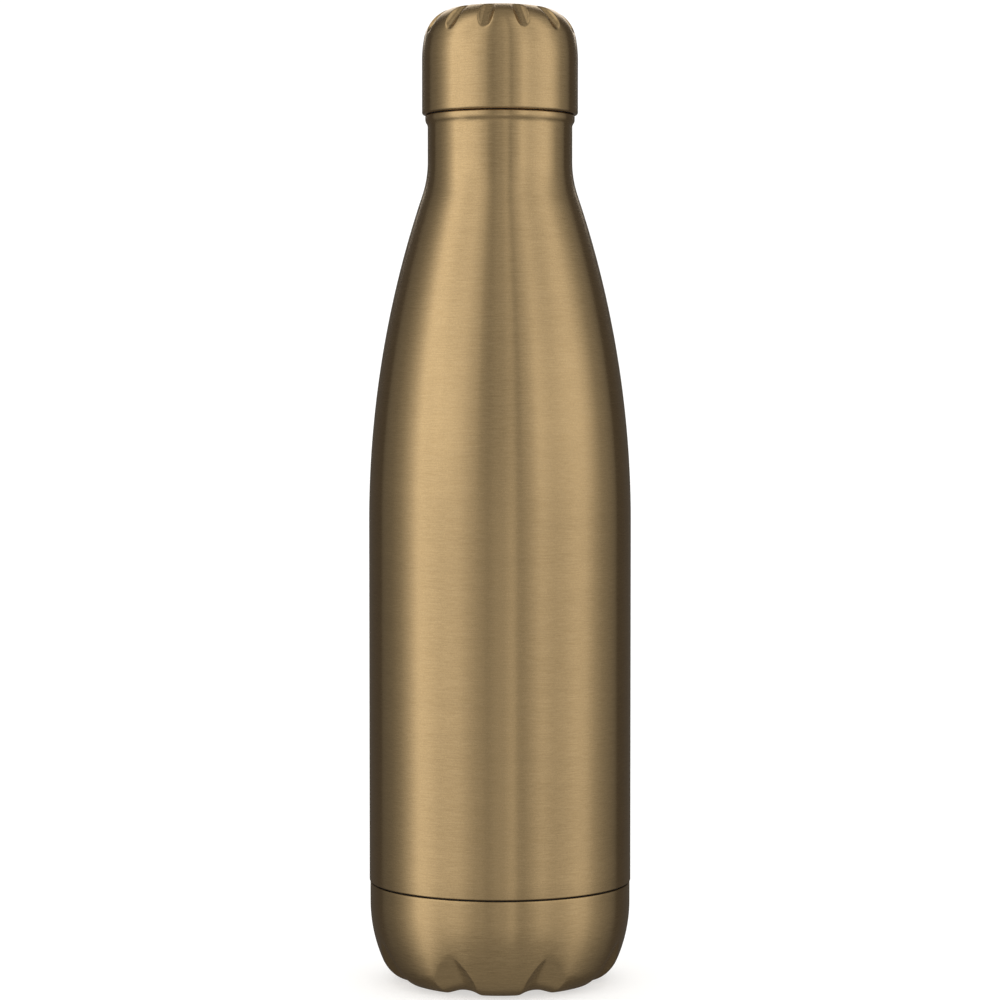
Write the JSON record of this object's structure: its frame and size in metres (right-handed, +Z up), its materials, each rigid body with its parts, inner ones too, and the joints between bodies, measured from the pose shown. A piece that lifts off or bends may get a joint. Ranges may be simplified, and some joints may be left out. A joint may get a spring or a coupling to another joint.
{
  "type": "insulated screw-lid bottle",
  "caption": "Slender double-wall metal water bottle with a lobed base cup and a fluted screw lid on an insulated stopper.",
  "frame": {"origin": "centre of the foot ring on the surface that the bottle stands on", "axes": "+Z up the bottle's axis, -Y towards the middle of the front base lobe"},
  "size_m": [0.07, 0.07, 0.2604],
  "materials": {
    "bronze_coated_steel": "antique gold-bronze coating over fine ring-wise brushed stainless steel",
    "bare_steel": "bare electropolished stainless steel",
    "copper_foil": "bright rolled copper foil",
    "getter_alloy": "pressed dark grey metal powder",
    "clip_steel": "thin spring steel strip",
    "seal_glass": "fused sealing glass",
    "cover_aluminium": "self-adhesive aluminium disc",
    "epoxy": "cured dark epoxy",
    "black_pp": "moulded black polypropylene, fine satin",
    "white_foam": "white expanded foam, beaded",
    "silicone": "soft dark grey food-grade silicone"
  },
  "bodies": {
    "bottle": {"outer_shell": "bronze_coated_steel", "shell_end_disc": "bare_steel", "vacuum_seal": "seal_glass", "port_cover": "cover_aluminium", "getter_pill": "getter_alloy", "getter_clip": "clip_steel", "liner_body": "bare_steel", "liner_base": "bare_steel", "copper_wrap": "copper_foil", "base_cup": "bronze_coated_steel", "base_bond": "epoxy"},
    "gasket": {"lid_gasket": "silicone"},
    "lid": {"lid_shell": "bronze_coated_steel", "lid_bond": "epoxy", "stopper_body": "black_pp", "stopper_foam": "white_foam", "stopper_top_disc": "black_pp", "stopper_end_cap": "black_pp"}
  },
  "joints": [
    {"name": "lid_lift", "type": "slide", "parent": "bottle", "child": "gasket", "axis": [0, 0, 1], "range_m": [0, 0.024]},
    {"name": "lid_turn", "type": "hinge", "parent": "gasket", "child": "lid", "pos_m": [0, 0, 0.2321], "axis": [0, 0, 1], "range_deg": [0, 2160]}
  ],
  "couplings": [
    {"joint": "lid_lift", "follows": "lid_turn", "m_per_rad": 0.00063662}
  ]
}
